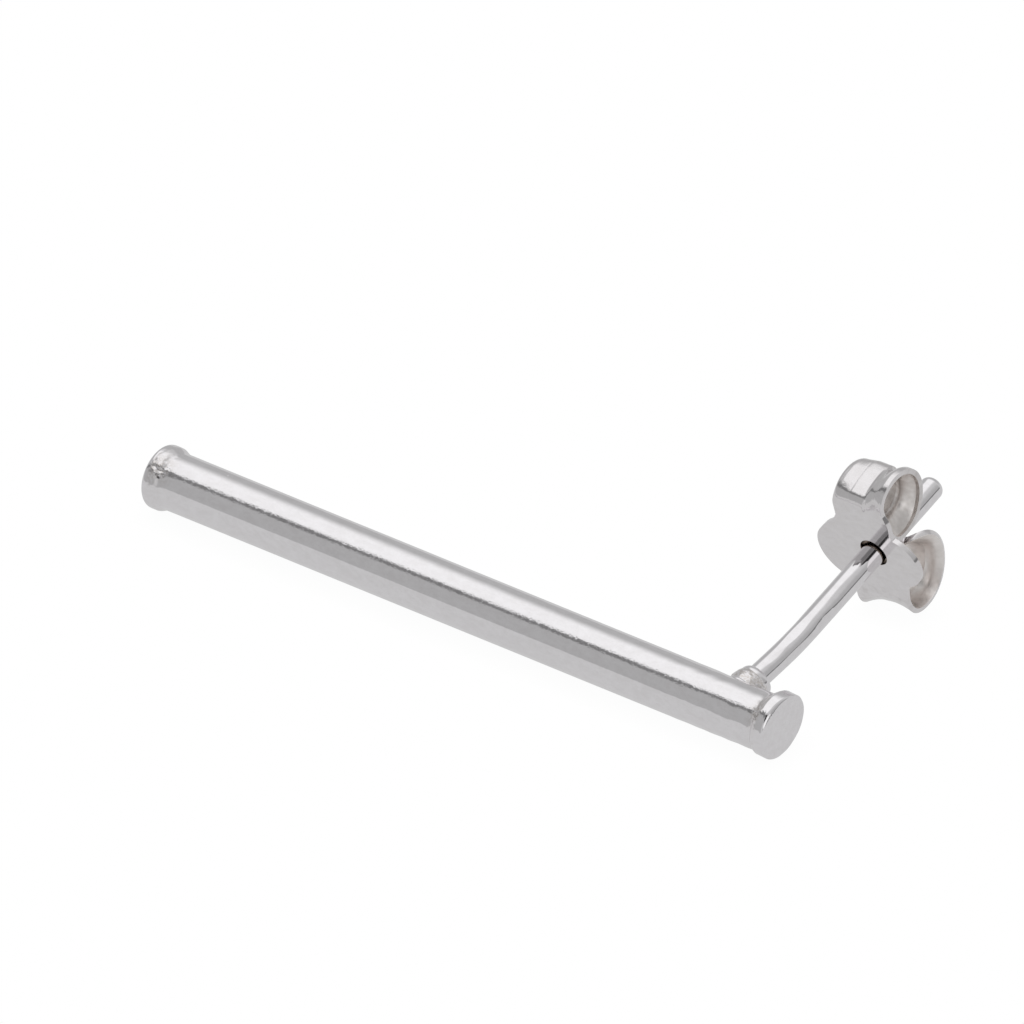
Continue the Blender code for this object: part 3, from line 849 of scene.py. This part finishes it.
def lower_strip():
    """Rows of points on the strip's outer surface, from its neck on the plate to its free end."""
    across = np.linspace(-1.0, 1.0, STRIP_COLUMNS)
    relief = np.array(LOWER_RELIEF)
    centre_y, centre_z = LOWER_CENTRE
    radius, half, middle, left, right, skew = table_at(LOWER_SECTIONS, 0.0)
    rows = []
    for share in np.linspace(0.0, 1.0, LOWER_NECK_ROWS, endpoint=False):
        z = LOWER_NECK + (centre_z + skew * across * half - LOWER_NECK) * share
        rows.append(np.column_stack([middle + across * half, np.full(STRIP_COLUMNS, PLATE_AT), z]))
    last = LOWER_SECTIONS[-1][0]
    for turn in turns_to(last, LOWER_CORNER, LOWER_STEP):
        radius, half, middle, left, right, skew = table_at(LOWER_SECTIONS, turn)
        into_end = max(0.0, 1 - (last - turn) / LOWER_CORNER)
        half = half * math.sqrt(1 - into_end ** 2)
        rise = np.maximum(0.0, (np.abs(across) - FLARE_FROM) / (1 - FLARE_FROM)) ** FLARE_POWER
        out = radius + np.where(across < 0, left, right) * rise * half / FLARE_HALF
        x = middle + across * half
        out = out + np.interp(x, relief[:, 0], relief[:, 1]) * float(eased(turn, *LOWER_RELIEF_STARTS))
        bend = math.radians(turn)
        z = centre_z - out * math.sin(bend) + skew * (x - middle)
        rows.append(np.column_stack([x, centre_y - out * math.cos(bend), z]))
    return np.array(rows)


lower_grid = lower_strip()
print("lower strip", lower_grid.shape)

# %% Cut the plate round its hole
LOBE_STEPS = 34
HOLE_RADIUS = 0.58
HOLE_RAISED = 0.035

# The pierced hole turns its edge back, as (radius, depth behind the plate)
HOLE_BURR = ((0.535, 0.40), (0.54, 0.30), (0.545, 0.18), (0.555, 0.08), (0.57, 0.025))
PLATE_RINGS = (0.0, 0.012, 0.04, 0.10, 0.25, 0.45, 0.65, 0.82, 0.93, 1.0)
LEFT_LOBE = {"x": -1.31, "z": -0.60, "radius": 1.34, "first": 267.0, "last": 138.0}
RIGHT_LOBE = {"x": 0.87, "z": -0.05, "radius": 1.18, "first": 80.0, "last": -74.0}

# Where the left lobe runs up into the neck, as (along the bar, across it)
LEFT_SHOULDER = ((-2.21, 0.42), (-2.10, 0.565), (-1.98, 0.69), (-1.85, 0.80), (-1.73, 0.91),
                 (-1.63, 1.03), (-1.55, 1.15), (-1.48, 1.29))


def arc(x, z, radius, turns):
    """Points on an arc in the plate, at turns in radians."""
    return np.column_stack([x + radius * np.cos(turns), np.full(len(turns), PLATE_AT),
                            z + radius * np.sin(turns)])


def lobe_arc(shape):
    """Points on one of the plate's rounded lobes."""
    turns = np.radians(np.linspace(shape["first"], shape["last"], LOBE_STEPS))
    return arc(shape["x"], shape["z"], shape["radius"], turns)


shoulder = np.array([(x, PLATE_AT, z) for x, z in LEFT_SHOULDER])
plate_edge = np.vstack([upper_grid[0], lobe_arc(RIGHT_LOBE), lower_grid[0][::-1], lobe_arc(LEFT_LOBE),
                        shoulder])
hole_edge = arc(0.0, HOLE_RAISED, HOLE_RADIUS, np.arctan2(plate_edge[:, 2], plate_edge[:, 0]))
burr = []
for radius, depth in HOLE_BURR:
    narrowed = hole_edge * np.array((radius / HOLE_RADIUS, 1.0, radius / HOLE_RADIUS))
    burr.append(narrowed + np.array((0.0, depth, 0.0)))
plate_grid = np.array(burr + [hole_edge + (plate_edge - hole_edge) * share for share in PLATE_RINGS])
print("plate rings", plate_grid.shape)

# %% [markdown]
# One sheet of metal
#
# The plate and its strips are one piece of metal, so they become one mesh. Apart from its shape, the
# sheet shows what was done to it: scuffs on the upper curl and dull patches inside both curls. Its hole
# is painted dark, as shade. We could paint these by hand. Here each is an amount stored at the mesh's
# points, worked out from where they lie, and the silver reads it.

# %% Join plate and strips into one sheet
CURL_SCUFFS, CURL_SCUFFS_FROM = 0.5, 16
MERGE_WITHIN = 0.002

# Dull patches inside the curls: how dull on the whole, how uneven, how large in millimetres, and the
# rows of the upper strip over which they begin
UPPER_DULL, LOWER_DULL = 0.15, 0.01
DULL_UNEVEN, DULL_SIZE = 0.20, 0.16
DULL_ROWS = (48, 72)


def add_grid(work, grid, closed=False):
    """The grid's points and faces in a bmesh; returns the points as rows."""
    rows = [[work.verts.new(point) for point in row] for row in laid_down(grid)]
    columns = len(rows[0])
    for row, after in zip(rows, rows[1:]):
        for i in range(columns if closed else columns - 1):
            j = (i + 1) % columns
            work.faces.new((row[i], row[j], after[j], after[i]))
    return rows


def clutch_sheet(name):
    """The sheet's outer surface as one mesh, facing the bar, with what is painted on it."""
    work = bmesh.new()
    tarnish_and_shade = work.verts.layers.float.new("tarnish_and_shade")
    scuffed = work.verts.layers.float.new("scuffed")
    plate_rows = add_grid(work, plate_grid, closed=True)
    # The hole's turned-back wall and its edge are painted dark all over, as shade
    for row in plate_rows[:len(burr) + 1]:
        for point in row:
            point[tarnish_and_shade] = 1.0
    upper_dull = UPPER_DULL + DULL_UNEVEN * lumps_at(upper_grid, DULL_SIZE, 41.0)
    for i, row in enumerate(add_grid(work, upper_grid)):
        for point, dull in zip(row, upper_dull[i]):
            point[scuffed] = CURL_SCUFFS if i >= CURL_SCUFFS_FROM else 0.0
            point[tarnish_and_shade] = max(0.0, dull * float(eased(i, *DULL_ROWS)))
    lower_dull = LOWER_DULL + DULL_UNEVEN * lumps_at(lower_grid, DULL_SIZE, 43.0)
    for row, row_dull in zip(add_grid(work, lower_grid)[1:], lower_dull[1:]):
        for point, dull in zip(row, row_dull):
            point[tarnish_and_shade] = max(0.0, dull)
    bmesh.ops.remove_doubles(work, verts=work.verts, dist=MERGE_WITHIN * MM)
    bmesh.ops.recalc_face_normals(work, faces=work.faces)
    nearest_bar = min(work.faces, key=lambda face: face.calc_center_median().dot(post_direction))
    if nearest_bar.normal.dot(post_direction) > 0:
        bmesh.ops.reverse_faces(work, faces=work.faces)
    mesh = bpy.data.meshes.new(name)
    work.to_mesh(mesh)
    work.free()
    mesh.shade_smooth()
    mesh.materials.append(clutch_silver)
    mesh.materials.append(satin_silver)
    item = bpy.data.objects.new(name, mesh)
    bpy.context.scene.collection.objects.link(item)
    return item


clutch_item = clutch_sheet("stamped_clutch")
print("clutch sheet has", len(clutch_item.data.polygons), "faces")

# %% Give the sheet its thickness and round its edges
SHEET = 0.20
ROUNDED_BY, ROUNDED_IN, ROUNDED_FROM_DEGREES = 0.07, 3, 55

# The sheet's outside and cut edges are the first silver of the mesh, and its inside the second
thicken = clutch_item.modifiers.new("sheet thickness", "SOLIDIFY")
thicken.thickness = SHEET * MM
thicken.offset = -1.0
thicken.material_offset = 1
thicken.material_offset_rim = 0
rounding = clutch_item.modifiers.new("rounded cut edges", "BEVEL")
rounding.width = ROUNDED_BY * MM
rounding.segments = ROUNDED_IN
rounding.limit_method = "ANGLE"
rounding.angle_limit = math.radians(ROUNDED_FROM_DEGREES)
rounding.material = 0
print("the sheet is", SHEET, "mm thick")

# %% [markdown]
# Putting it together
#
# Each piece must move with the body it belongs to: bar, collar and post with the bar, and the sheet
# with the clutch, which slides. The plain solids stay for the physics but no longer show.

# %% Hand the pieces to their bodies
for piece in (bar_item, post_item, collar_item):
    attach(piece, "bar")
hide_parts("bar_and_post")
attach(clutch_item, "clutch")
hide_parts("butterfly_clutch")
print("handed over:", [piece.name for piece in (bar_item, post_item, collar_item, clutch_item)])
